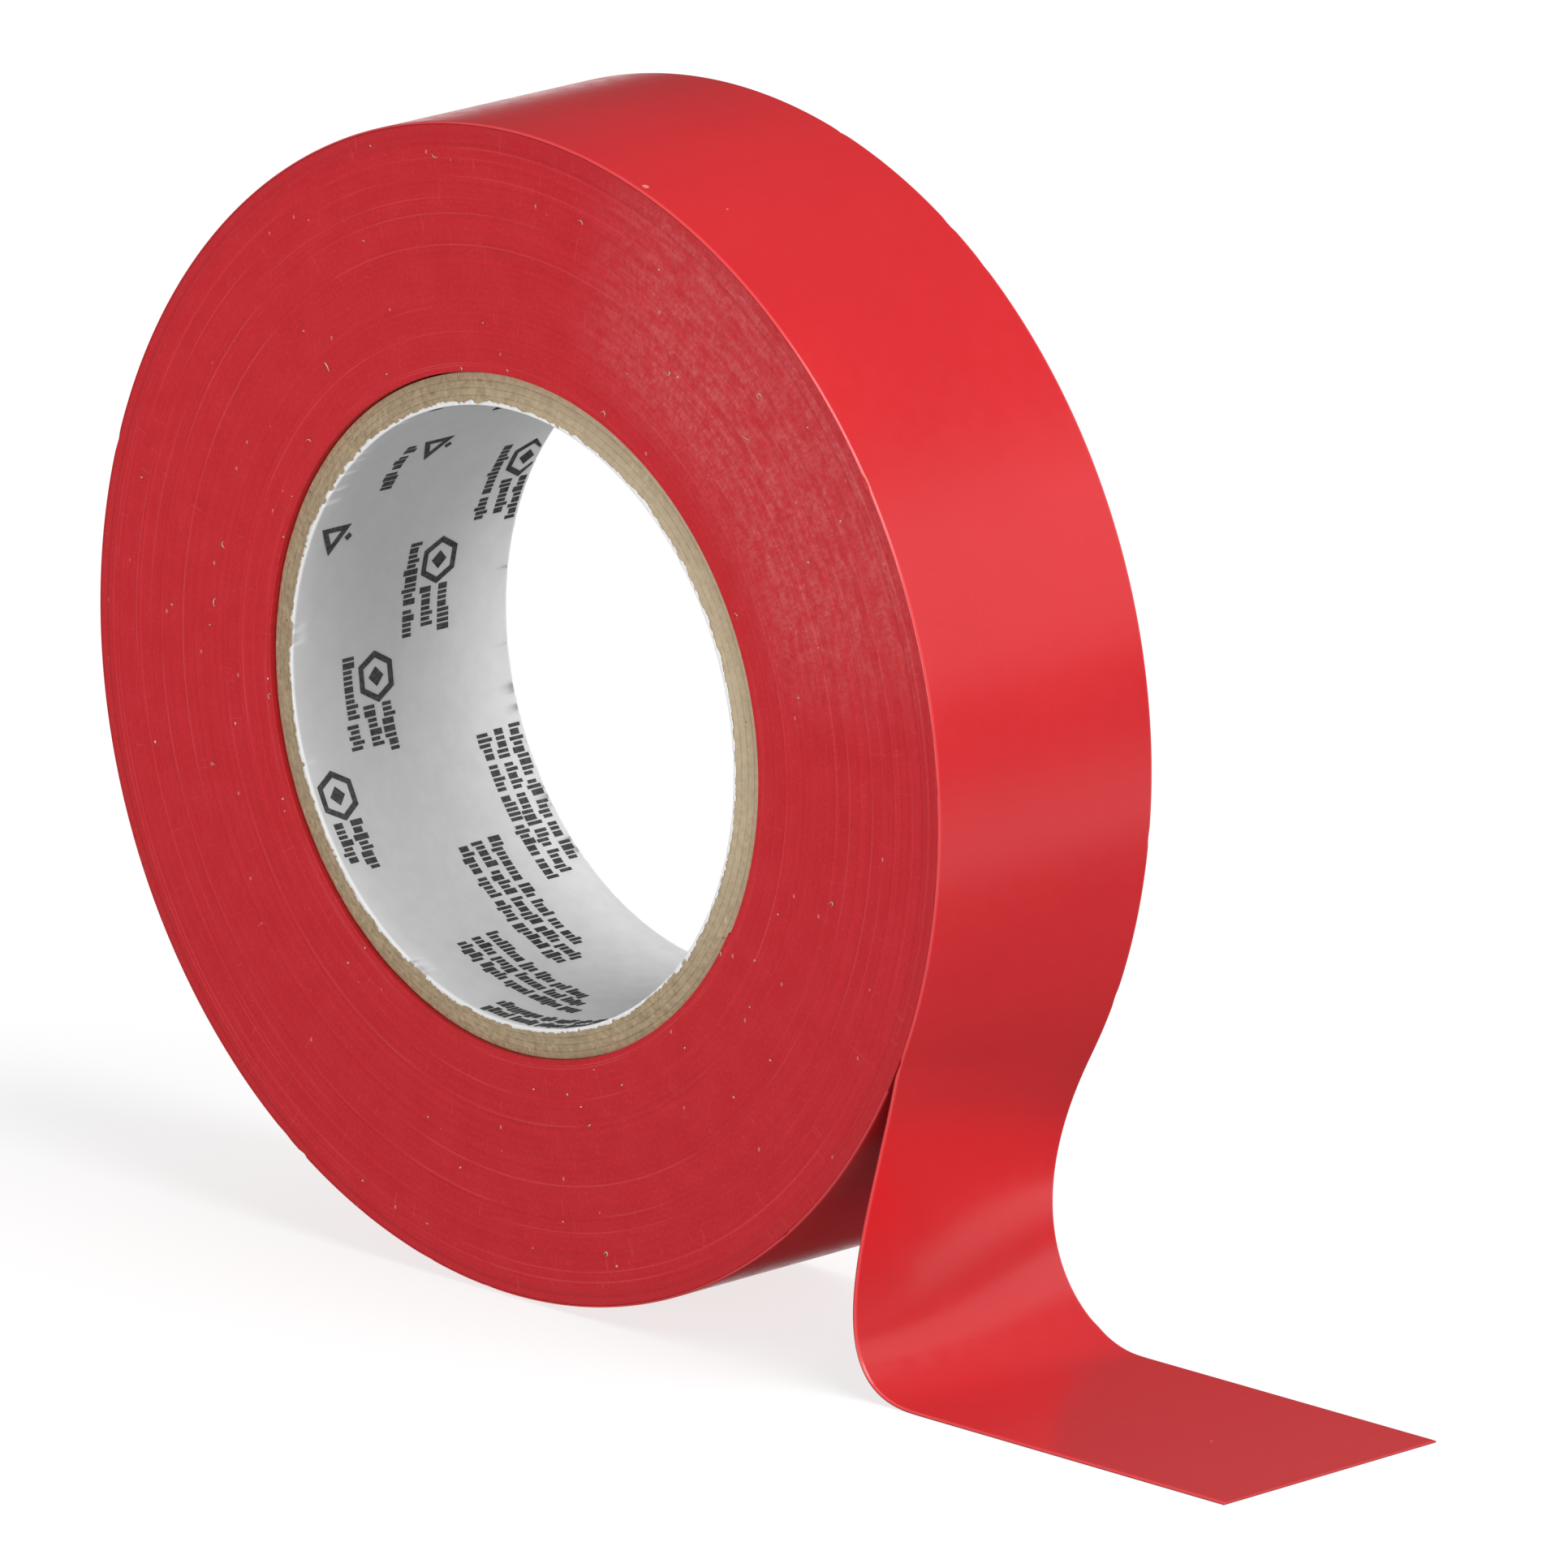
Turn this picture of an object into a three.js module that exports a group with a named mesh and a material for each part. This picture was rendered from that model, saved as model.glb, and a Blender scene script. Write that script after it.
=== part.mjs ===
// A roll of 3/4 inch electrical tape standing on its rim, with the free end peeled off one side.
// Millimetres, +Z up. The roll's axis is parallel to Y. The origin is the point of the rim that the
// roll stands on, at mid-width; the free end (the tail) runs off towards +X and lies on the ground.

import {
  BufferGeometry, CubicBezierCurve, CurvePath, Float32BufferAttribute, Group, LatheGeometry,
  LineCurve, MathUtils, Mesh, MeshStandardMaterial, Vector2,
} from 'three';

// Driving dimensions of the roll.
const TAPE_WIDTH = 19.05;
const ROLL_RADIUS = 38.5;
const CORE_RADIUS = 22.24;
const BORE_RADIUS = 20.2;

// The tape strip: a PVC film with a layer of adhesive on its inner side.
const TAPE_THICKNESS = 0.17;
const FILM_THICKNESS = 0.13;
const ADHESIVE_THICKNESS = 0.03;

// The chipboard core: plies wound on each other, with a printed paper liner in the bore.
const PLY_COUNT = 4;
const LINER_THICKNESS = 0.12;
const GLUE_LINE = 0.02;

// Every round piece has the same facets, one of them flat on the ground.
const FACETS = 64;

// The tail, as its two edges seen along the roll's axis. Each edge leaves the rim at an angle below
// the axis's height, runs down a curve that starts at a lean from the vertical, and lies flat after
// its foot. The handles set how far the curve keeps its first and last directions.
const FRONT_EDGE = { y: -TAPE_WIDTH / 2, peel: 25, lean: 12, startHandle: 9.5, footHandle: 9.7, footX: 36.1 };
const BACK_EDGE = { y: TAPE_WIDTH / 2, peel: 30.3, lean: 30.3, startHandle: 17.1, footHandle: 3, footX: 37.3 };
const TAIL_TIP_X = 63.6;
const PEEL_CLEARANCE = 0.25;

// Distances along the strip from the height of the roll's axis: the tail flexes at these two lines.
const KNEE_AT = 37;
const CURL_AT = 57;
const FLEX_GAP = 0.3;

const materials = {
  film: new MeshStandardMaterial({ color: 0xb5121b, roughness: 0.38, metalness: 0 }),
  tapeSide: new MeshStandardMaterial({ color: 0x8e1018, roughness: 0.55, metalness: 0 }),
  adhesive: new MeshStandardMaterial({ color: 0x5c1014, roughness: 0.3, metalness: 0 }),
  chipboard: new MeshStandardMaterial({ color: 0x9c8a78, roughness: 0.95, metalness: 0 }),
  paper: new MeshStandardMaterial({ color: 0xf2f0ec, roughness: 0.8, metalness: 0 }),
};

// A flat-faceted ring about the Y axis, given by the radii to the middle of its facets.
function ring(innerRadius, outerRadius) {
  const toCorner = 1 / Math.cos(Math.PI / FACETS);
  const inner = innerRadius * toCorner;
  const outer = outerRadius * toCorner;
  const half = TAPE_WIDTH / 2;
  const profile = [
    new Vector2(outer, -half),
    new Vector2(outer, half),
    new Vector2(inner, half),
    new Vector2(inner, -half),
    new Vector2(outer, -half),
  ];
  return new LatheGeometry(profile, FACETS, Math.PI / FACETS);
}

// One edge of the tail's adhesive side, in the XZ plane: its path, and how far along the strip it peels.
function edgePath({ peel, lean, startHandle, footHandle, footX }) {
  const angle = MathUtils.degToRad(peel);
  const slope = MathUtils.degToRad(lean);
  const radius = ROLL_RADIUS + PEEL_CLEARANCE;
  const start = new Vector2(radius * Math.cos(angle), ROLL_RADIUS - radius * Math.sin(angle));
  const foot = new Vector2(footX, 0);
  const path = new CurvePath();
  path.add(new CubicBezierCurve(
    start,
    new Vector2(start.x - startHandle * Math.sin(slope), start.y - startHandle * Math.cos(slope)),
    new Vector2(footX - footHandle, 0),
    foot,
  ));
  path.add(new LineCurve(foot, new Vector2(TAIL_TIP_X, 0)));
  return { path, peelAt: ROLL_RADIUS * angle };
}

// A point of an edge, raised off the adhesive side. The outer side is on the left of the run.
function edgePoint(edge, { path, peelAt }, along, raise) {
  const share = MathUtils.clamp((along - peelAt) / path.getLength(), 0, 1);
  const point = path.getPointAt(share);
  const run = path.getTangentAt(share);
  return [point.x - run.y * raise, edge.y, point.y + run.x * raise];
}

// One layer of the tail between two lines across it. Null starts at the skewed line where it peels.
function tailLayer(from, to, low, high, steps) {
  const edges = [FRONT_EDGE, BACK_EDGE].map((edge) => [edge, edgePath(edge)]);
  const [front, back] = edges;
  const corners = [[front, low], [front, high], [back, high], [back, low]];
  const positions = [];
  for (let step = 0; step <= steps; step += 1) {
    for (const [[edge, path], raise] of corners) {
      const start = from === null ? path.peelAt : from;
      const along = MathUtils.lerp(start, to, step / steps);
      positions.push(...edgePoint(edge, path, along, raise));
    }
  }
  // The outer side and the adhesive side are cut along the same diagonal, so layers stay parallel.
  const adhesiveSide = 3;
  const index = [0, 1, 2, 0, 2, 3];
  for (let step = 0; step < steps; step += 1) {
    for (let side = 0; side < 4; side += 1) {
      const a = step * 4 + side;
      const b = step * 4 + ((side + 1) % 4);
      if (side === adhesiveSide) {
        index.push(a, a + 4, b + 4, a, b + 4, b);
      } else {
        index.push(a, a + 4, b, b, a + 4, b + 4);
      }
    }
  }
  const last = steps * 4;
  index.push(last, last + 2, last + 1, last, last + 3, last + 2);
  const geometry = new BufferGeometry();
  geometry.setAttribute('position', new Float32BufferAttribute(positions, 3));
  geometry.setIndex(index);
  geometry.computeVertexNormals();
  return geometry;
}

function named(name, geometry, material) {
  const mesh = new Mesh(geometry, material);
  mesh.name = name;
  return mesh;
}

// The core: a paper liner and chipboard plies, innermost first.
function core() {
  const group = new Group();
  const linerOuter = BORE_RADIUS + LINER_THICKNESS;
  group.add(named('paper_liner', ring(BORE_RADIUS, linerOuter), materials.paper));
  const pitch = (CORE_RADIUS - linerOuter) / PLY_COUNT;
  for (let ply = 0; ply < PLY_COUNT; ply += 1) {
    const inner = linerOuter + ply * pitch + GLUE_LINE;
    const outer = linerOuter + (ply + 1) * pitch;
    group.add(named(`core_ply_${ply + 1}`, ring(inner, outer), materials.chipboard));
  }
  return group;
}

// The tape on the roll: the wound turns, and the outermost turn as its two layers.
function woundTape() {
  const group = new Group();
  const turnInner = ROLL_RADIUS - TAPE_THICKNESS;
  const adhesiveOuter = turnInner + ADHESIVE_THICKNESS;
  const woundOuter = turnInner - GLUE_LINE / 2;
  group.add(named('wound_tape', ring(CORE_RADIUS + GLUE_LINE, woundOuter), materials.tapeSide));
  group.add(named('outer_turn_adhesive', ring(turnInner, adhesiveOuter), materials.adhesive));
  group.add(named('outer_turn_film', ring(ROLL_RADIUS - FILM_THICKNESS, ROLL_RADIUS), materials.film));
  return group;
}

// The tail: three stretches between its flex lines, each a film over its adhesive.
function tail() {
  const group = new Group();
  const tipAt = Math.min(...[FRONT_EDGE, BACK_EDGE].map((edge) => {
    const { path, peelAt } = edgePath(edge);
    return peelAt + path.getLength();
  }));
  const half = FLEX_GAP / 2;
  const stretches = [
    { name: 'tail_web', from: null, to: KNEE_AT - half, steps: 10 },
    { name: 'tail_foot', from: KNEE_AT + half, to: CURL_AT - half, steps: 10 },
    { name: 'tail_tip', from: CURL_AT + half, to: tipAt, steps: 1 },
  ];
  const filmLow = TAPE_THICKNESS - FILM_THICKNESS;
  for (const { name, from, to, steps } of stretches) {
    const film = tailLayer(from, to, filmLow, TAPE_THICKNESS, steps);
    const adhesive = tailLayer(from, to, 0, ADHESIVE_THICKNESS, steps);
    group.add(named(`${name}_film`, film, materials.film));
    group.add(named(`${name}_adhesive`, adhesive, materials.adhesive));
  }
  return group;
}

const roll = new Group();
roll.position.z = ROLL_RADIUS;
roll.add(core(), woundTape());

const tapeRoll = new Group();
tapeRoll.add(roll, tail());

export default tapeRoll;
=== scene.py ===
"""Looks of a roll of electrical tape: meshes, materials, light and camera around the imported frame.

Everything is in metres. The roll's axis is parallel to Y, its near face is at -Y, and the free end
of the tape lies on the ground towards +X. Angles round the roll are measured from +X towards +Z.
Colours are linear red, green, blue and alpha.
"""

import math

import bpy
import numpy as np
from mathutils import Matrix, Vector, noise


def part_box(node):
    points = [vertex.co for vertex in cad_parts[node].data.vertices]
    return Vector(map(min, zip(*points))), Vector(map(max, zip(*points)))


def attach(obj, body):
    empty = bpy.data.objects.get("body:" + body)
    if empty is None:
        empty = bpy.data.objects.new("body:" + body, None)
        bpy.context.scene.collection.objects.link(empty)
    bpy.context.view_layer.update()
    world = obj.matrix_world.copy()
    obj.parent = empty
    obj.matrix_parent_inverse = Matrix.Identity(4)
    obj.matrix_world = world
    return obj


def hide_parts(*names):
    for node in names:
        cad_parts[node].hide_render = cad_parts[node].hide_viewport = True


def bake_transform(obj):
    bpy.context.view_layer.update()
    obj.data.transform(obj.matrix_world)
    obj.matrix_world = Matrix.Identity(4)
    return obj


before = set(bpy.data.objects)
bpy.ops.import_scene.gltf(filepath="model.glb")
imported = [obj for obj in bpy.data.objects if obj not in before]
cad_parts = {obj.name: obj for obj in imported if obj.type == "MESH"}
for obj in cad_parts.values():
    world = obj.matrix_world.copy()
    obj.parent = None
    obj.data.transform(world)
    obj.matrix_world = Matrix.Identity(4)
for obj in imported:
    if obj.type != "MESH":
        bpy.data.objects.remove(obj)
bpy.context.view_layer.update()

MM = 0.001

# ---------------------------------------------------------------- sizes taken from the frame

film_low, film_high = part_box("outer_turn_film")
core_low, core_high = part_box("core_ply_4")
ROLL_RADIUS = (film_high.z - film_low.z) / 2
AXIS_HEIGHT = (film_high.z + film_low.z) / 2
HALF_WIDTH = (film_high.y - film_low.y) / 2
CORE_RADIUS = (core_high.z - core_low.z) / 2
TIP_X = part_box("tail_tip_film")[1].x

# ---------------------------------------------------------------- sizes that only the looks need

LINER = 0.12 * MM
PLY_COUNT = 4
BORE_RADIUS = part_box("paper_liner")[1].x - LINER
PLY_FROM = BORE_RADIUS + LINER
PLY = (CORE_RADIUS - PLY_FROM) / PLY_COUNT
CORE_CROWN = 0.44 * MM

TURNS = 95
PITCH = (ROLL_RADIUS - CORE_RADIUS) / (TURNS + 1)
TURN_GROOVE = 0.020 * MM
ADHESIVE = 0.03 * MM
FILM_LOW = 0.04 * MM

# The free end's two edges, as in the CAD source: where each leaves the rim and how it comes down.
FRONT_EDGE = {"peel": 25, "lean": 12, "start": 9.5 * MM, "end": 9.7 * MM, "foot": 36.1 * MM}
BACK_EDGE = {"peel": 30.3, "lean": 30.3, "start": 17.1 * MM, "end": 3 * MM, "foot": 37.3 * MM}
PEEL_ANGLE = math.radians((FRONT_EDGE["peel"] + BACK_EDGE["peel"]) / 2)

# Distances along the strip from the height of the roll's axis, positive towards the free end.
STRIP_START = PEEL_ANGLE * ROLL_RADIUS - math.tau * ROLL_RADIUS
ROLL_SPLIT = 8 * MM
WEB_SPLIT = 28 * MM
FOOT_SPLIT = 49 * MM
STRIP_END = 70.2 * MM

# A slight crease across the back half of the strip, where it comes down on the ground.
CREASE = {"at": 40.6 * MM, "width": 0.55 * MM, "height": 0.06 * MM}

# How finely the strip is worked out along its length, over what distance it is evened out, and how
# far apart the sections of its mesh are.
ROW_STEP = 0.1 * MM
ROUNDING = 0.7 * MM
SECTION_STEP = 0.45 * MM

# The way the strip runs where it leaves the roll.
PEEL_WAY = Vector((-0.35, 0, -0.94))

# Distances from the roll's axis over which the film of the free end changes tone: it is painted brighter,
# as if lit through, then painted darker over the bend, as shade, and is paler towards the tip.
BACKLIT_FROM = (38.7 * MM, 39.8 * MM)
BEND_SHADE_FROM = (40.4 * MM, 45.5 * MM)
FOOT_FROM = (50 * MM, 76 * MM)

# Directions from the roll's axis, as cosine and sine: to the patch of painted highlight on the face, and
# to the side where the board is painted lighter, as if lit from there.
PAINTED_SHEEN_WAY = (0.72, 0.69)
PAINTED_LIGHT_WAY = (0.87, 0.5)

SEED = 11

# ---------------------------------------------------------------- light and camera

# The two suns' powers are irradiances, and their sizes are in degrees.
KEY = {"from": (0.66, 0.02, 0.75), "size": 42, "power": 2.62}
FILL = {"from": (0.18, -1.0, 0.15), "size": 30, "power": 1.49}

# Radiances of the floor and of the parts of the studio.
FLOOR_GLOW = 0.76
PANEL = 0.68
TABLE = 0.62
SWEEP = 0.95
BACK_LEVEL = 0.09
FRONT_LEVEL = 0.16
DIFFUSE_ABOVE = 0.22
DIFFUSE_BELOW = 0.62
DIFFUSE_BEHIND = 0.26

# Shares: of the dim level that is missing under the roll, and of the panel that lights matt surfaces.
UNDER_CUT = 0.8
DIFFUSE_PANEL = 0.6

# The camera's place is measured from the roll's axis. Its angles are in degrees, its lens in mm.
CAMERA = {"place": (0.98728, -0.96121, 0.36939), "azimuth": 45.326, "elevation": 15.248, "lens": 512.4}

# ---------------------------------------------------------------- colours

FILM_COLORS = {
    "deep": (0.60, 0.0205, 0.0260, 1),
    "fresh": (0.64, 0.0230, 0.0290, 1),
    "backlit": (0.74, 0.018, 0.024, 1),
    "bend": (0.555, 0.026, 0.031, 1),
    "foot": (0.63, 0.042, 0.047, 1),
    "grain": (0.50, 0.018, 0.024, 1),
    "dust": (0.85, 0.45, 0.42, 1),
    # The paler red along the strip's edges is a painted highlight.
    "paler": (0.84, 0.10, 0.105, 1),
}
SIDE_COLORS = {
    "dark_turn": (0.615, 0.0108, 0.0178, 1),
    "light_turn": (0.67, 0.0128, 0.0218, 1),
    "cloud": (0.71, 0.017, 0.028, 1),
    # Painted shade that darkens the face towards the bottom.
    "painted_low_shade": (0.30, 0.006, 0.010, 1),
    "pit": (0.40, 0.011, 0.018, 1),
    "glint": (0.82, 0.06, 0.08, 1),
    # Painted highlights along a few proud turns.
    "line": (0.80, 0.13, 0.15, 1),
    "dull": (0.38, 0.022, 0.030, 1),
    # Painted highlight: the whitish haze of the patch on the upper right.
    "painted_sheen": (0.86, 0.32, 0.32, 1),
    "scratch": (0.80, 0.24, 0.25, 1),
    "dust": (0.86, 0.50, 0.46, 1),
    "crumb": (0.82, 0.60, 0.48, 1),
    "speck": (0.20, 0.012, 0.018, 1),
}
ADHESIVE_COLORS = {"dark": (0.30, 0.010, 0.014, 1), "light": (0.42, 0.018, 0.024, 1)}
BOARD_COLORS = {
    "dark_pulp": (0.31, 0.226, 0.135, 1),
    "light_pulp": (0.53, 0.412, 0.266, 1),
    "light_fibre": (0.47, 0.367, 0.236, 1),
    "dark_fibre": (0.19, 0.135, 0.08, 1),
    "cloud": (0.38, 0.30, 0.20, 1),
    # The board is painted lighter on its upper right, as if lit from there.
    "painted_light": (0.70, 0.585, 0.41, 1),
    "pale_fleck": (0.66, 0.57, 0.43, 1),
    "dark_fleck": (0.09, 0.065, 0.04, 1),
    "glue": (0.15, 0.105, 0.065, 1),
}
PAPER_COLORS = {
    # The paper is painted grey where it would be in shade, and whiter where it would be lit.
    "grey": (0.62, 0.62, 0.622, 1),
    "painted_lit": (0.85, 0.85, 0.85, 1),
    "mottle": (0.40, 0.40, 0.40, 1),
    "torn": (0.88, 0.88, 0.875, 1),
    "fibre": (0.42, 0.38, 0.33, 1),
}
INK_COLORS = {"full": (0.030, 0.028, 0.026, 1), "thin": (0.085, 0.082, 0.078, 1)}
CRUMB_COLORS = {"dark": (0.55, 0.44, 0.31, 1), "light": (0.74, 0.66, 0.54, 1)}
FLOOR_COLORS = {"dark": (0.27, 0.27, 0.27, 1), "light": (0.29, 0.29, 0.29, 1)}


# ---------------------------------------------------------------- mesh helpers


def new_object(name, vertices, faces, finish, sharp_faces=()):
    """A smooth-shaded object from vertices and faces. The sharp faces keep hard edges."""
    mesh = bpy.data.meshes.new(name)
    mesh.from_pydata([tuple(v) for v in vertices], [], faces)
    mesh.update()
    mesh.shade_smooth()
    if len(sharp_faces):
        mark_sharp(mesh, set(sharp_faces))
    mesh.materials.append(finish)
    obj = bpy.data.objects.new(name, mesh)
    bpy.context.scene.collection.objects.link(obj)
    return obj


def mark_sharp(mesh, chosen):
    """Hardens every edge between a chosen face and one that isn't."""
    sides = {}
    for polygon in mesh.polygons:
        for key in polygon.edge_keys:
            sides.setdefault(key, []).append(polygon.index in chosen)
    for edge in mesh.edges:
        edge.use_edge_sharp = len(set(sides[edge.key])) > 1


def loft(rings, closed):
    """Vertices and faces of a surface through rings of points. Each ring is a closed loop.

    closed joins the last ring to the first. Otherwise both ends are capped, each by a row of quads
    between the first half of its loop and the second half. The caps' faces are returned as well."""
    rings = np.asarray(rings, float)
    count, size = rings.shape[:2]
    faces = []
    for i in range(count if closed else count - 1):
        a, b = i * size, (i + 1) % count * size
        for j in range(size):
            k = (j + 1) % size
            faces.append((a + j, b + j, b + k, a + k))
    caps = []
    if not closed:
        last = (count - 1) * size
        for j in range(size // 2 - 1):
            k = size - 1 - j
            caps += [len(faces), len(faces) + 1]
            faces.append((j, j + 1, k - 1, k))
            faces.append((last + j, last + k, last + k - 1, last + j + 1))
    return rings.reshape(-1, 3), faces, caps


def around(radius, angle, y):
    """A point at a radius and angle about the roll's axis."""
    return (radius * math.cos(angle), y, AXIS_HEIGHT + radius * math.sin(angle))


def ring_noise(angle, roughness, seed):
    """Smooth noise from about -1 to 1 that closes on itself round the roll."""
    return noise.noise(Vector((math.cos(angle) * roughness, math.sin(angle) * roughness, seed)))


# ---------------------------------------------------------------- node helpers


class Nodes:
    """Short forms for building a node tree."""

    def __init__(self, owner):
        owner.use_nodes = True
        self.owner = owner
        self.tree = owner.node_tree

    def add(self, kind, **values):
        node = self.tree.nodes.new(kind)
        for key, value in values.items():
            setattr(node, key, value)
        return node

    def plug(self, socket, value):
        """Links a socket to another socket, or sets its value."""
        if isinstance(value, bpy.types.NodeSocket):
            self.tree.links.new(value, socket)
        else:
            socket.default_value = value

    def math(self, operation, *values):
        node = self.add("ShaderNodeMath", operation=operation)
        for socket, value in zip(node.inputs, values):
            self.plug(socket, value)
        return node.outputs[0]

    def sum(self, *values):
        total = values[0]
        for value in values[1:]:
            total = self.math("ADD", total, value)
        return total

    def times(self, *values):
        product = values[0]
        for value in values[1:]:
            product = self.math("MULTIPLY", product, value)
        return product

    def vector(self, x, y, z):
        node = self.add("ShaderNodeCombineXYZ")
        for socket, value in zip(node.inputs, (x, y, z)):
            self.plug(socket, value)
        return node.outputs[0]

    def split(self, vector):
        node = self.add("ShaderNodeSeparateXYZ")
        self.plug(node.inputs[0], vector)
        return node.outputs

    def noise(self, vector, scale, detail=2.0, rough=0.5):
        node = self.add("ShaderNodeTexNoise")
        self.plug(node.inputs["Vector"], vector)
        node.inputs["Scale"].default_value = scale
        node.inputs["Detail"].default_value = detail
        node.inputs["Roughness"].default_value = rough
        return node.outputs["Fac"]

    def ramp(self, value, low, high, start=0.0, end=1.0):
        """Maps value from low..high to start..end, smoothly and without passing them."""
        node = self.add("ShaderNodeMapRange", interpolation_type="SMOOTHSTEP")
        for socket, number in zip(node.inputs, (value, low, high, start, end)):
            self.plug(socket, number)
        return node.outputs[0]

    def hump(self, value, low, high, soft_low, soft_high):
        """1 between low and high, fading out to 0 over the soft distances."""
        rise = self.ramp(value, low - soft_low, low)
        fall = self.ramp(value, high, high + soft_high, 1, 0)
        return self.times(rise, fall)

    def mix(self, share, first, second):
        """The first colour, with a share of the second."""
        node = self.add("ShaderNodeMix", data_type="RGBA")
        self.plug(node.inputs["Factor"], share)
        self.plug(node.inputs[6], first)
        self.plug(node.inputs[7], second)
        return node.outputs[2]

    def scale(self, vector, amounts):
        node = self.add("ShaderNodeVectorMath", operation="MULTIPLY")
        self.plug(node.inputs[0], vector)
        node.inputs[1].default_value = amounts
        return node.outputs[0]

    def bump(self, height, distance, strength=1.0, under=None):
        node = self.add("ShaderNodeBump")
        self.plug(node.inputs["Height"], height)
        node.inputs["Distance"].default_value = distance
        node.inputs["Strength"].default_value = strength
        if under is not None:
            self.plug(node.inputs["Normal"], under)
        return node.outputs[0]

    def place(self):
        """Object coordinates with the roll's axis at the origin."""
        shift = self.add("ShaderNodeVectorMath", operation="SUBTRACT")
        self.plug(shift.inputs[0], self.add("ShaderNodeTexCoord").outputs["Object"])
        shift.inputs[1].default_value = (0, 0, AXIS_HEIGHT)
        return shift.outputs[0]

    def polar(self):
        """Distance from the roll's axis, and the cosine and sine of the angle round it."""
        x, _, z = self.split(self.place())
        radius = self.math("SQRT", self.sum(self.times(x, x), self.times(z, z)))
        return radius, self.math("DIVIDE", x, radius), self.math("DIVIDE", z, radius)

    def toward(self, direction, way):
        """How well a direction agrees with another one, both as cosine and sine: 1 where it is the same."""
        return self.sum(self.times(direction[0], way[0]), self.times(direction[1], way[1]))

    def round_noise(self, outward, direction, spread, detail=2.0, rough=0.5):
        """Noise that follows the turns of the roll.

        outward is its coordinate across the turns, direction the cosine and sine of the angle round
        the roll, and spread how fast it changes with that angle."""
        cosine, sine = direction
        point = self.vector(outward, self.times(cosine, spread), self.times(sine, spread))
        return self.noise(point, 1.0, detail, rough)

    def finish(self, color, roughness, normal=None, **others):
        shader = self.tree.nodes["Principled BSDF"]
        self.plug(shader.inputs["Base Color"], color)
        self.plug(shader.inputs["Roughness"], roughness)
        if normal is not None:
            self.plug(shader.inputs["Normal"], normal)
        for name, value in others.items():
            self.plug(shader.inputs[name.replace("_", " ")], value)
        return self.owner


def material(name):
    return Nodes(bpy.data.materials.new(name))


def specks(n, vector, scale, size, share):
    """A mask of small dots, one in a share of the cells of a jittered grid. size is in cells."""
    cells = n.add("ShaderNodeTexVoronoi", feature="F1")
    n.plug(cells.inputs["Vector"], vector)
    cells.inputs["Scale"].default_value = scale
    pick, reach, _ = n.split(cells.outputs["Color"])
    near = n.math("LESS_THAN", cells.outputs["Distance"], n.times(reach, size))
    return n.times(n.math("LESS_THAN", pick, share), near)


# ---------------------------------------------------------------- materials


def film_material():
    """Satin red PVC: a slow drift of tone, faint waves along the strip and a fine skin.

    The free end is a single thickness. Its red is painted brighter between the roll and the bend, as
    light coming through, painted darker over the bend, as shade, and is paler towards the tip."""
    n = material("pvc_film")
    tone = FILM_COLORS
    place = n.place()
    drift = n.noise(place, scale=60, detail=3)
    color = n.mix(n.ramp(drift, 0.3, 0.7), tone["deep"], tone["fresh"])
    radius, _, _ = n.polar()
    # Painted light and shade: brighter between the roll and the bend, as if lit through, and darker over
    # the bend.
    color = n.mix(n.ramp(radius, *BACKLIT_FROM), color, tone["backlit"])
    color = n.mix(n.ramp(radius, *BEND_SHADE_FROM), color, tone["bend"])
    color = n.mix(n.ramp(radius, *FOOT_FROM), color, tone["foot"])
    grain = n.noise(place, scale=2200, detail=3, rough=0.7)
    color = n.mix(n.ramp(grain, 0.3, 0.7, 0.10, 0), color, tone["grain"])
    dust = specks(n, place, scale=260, size=0.08, share=0.018)
    color = n.mix(n.times(dust, 0.5), color, tone["dust"])
    # Painted highlight: the red is paler along both edges, where the rounded rims would catch the light.
    edge = n.math("ABSOLUTE", n.split(place)[1])
    paler = n.ramp(edge, HALF_WIDTH - 0.25 * MM, HALF_WIDTH - 0.05 * MM, 0, 0.55)
    color = n.mix(paler, color, tone["paler"])
    roughness = n.ramp(n.noise(place, scale=900, detail=2), 0.25, 0.75, 0.19, 0.25)
    skin = n.bump(grain, 0.004 * MM, strength=0.6)
    swell = n.noise(n.scale(place, (90, 300, 90)), scale=1.0, detail=1)
    waves = n.bump(swell, 0.02 * MM, strength=0.3, under=skin)
    return n.finish(color, roughness, waves, Specular_IOR_Level=0.5)


def turn_number(n, radius, cosine, sine):
    """The number of the turn at a point of the roll's face. It steps by one along the spiral."""
    angle = n.math("ARCTAN2", sine, cosine)
    wound = n.math("FRACT", n.math("DIVIDE", n.math("ADD", angle, PEEL_ANGLE), -math.tau))
    across = n.math("DIVIDE", n.math("SUBTRACT", radius, CORE_RADIUS), PITCH)
    return n.math("SUBTRACT", across, wound)


def random_of(n, number, seed):
    """A random value from 0 to 1 for each whole number."""
    node = n.add("ShaderNodeTexWhiteNoise", noise_dimensions="2D")
    n.plug(node.inputs["Vector"], n.vector(n.math("FLOOR", number), seed, 0))
    return node.outputs["Value"]


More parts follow.
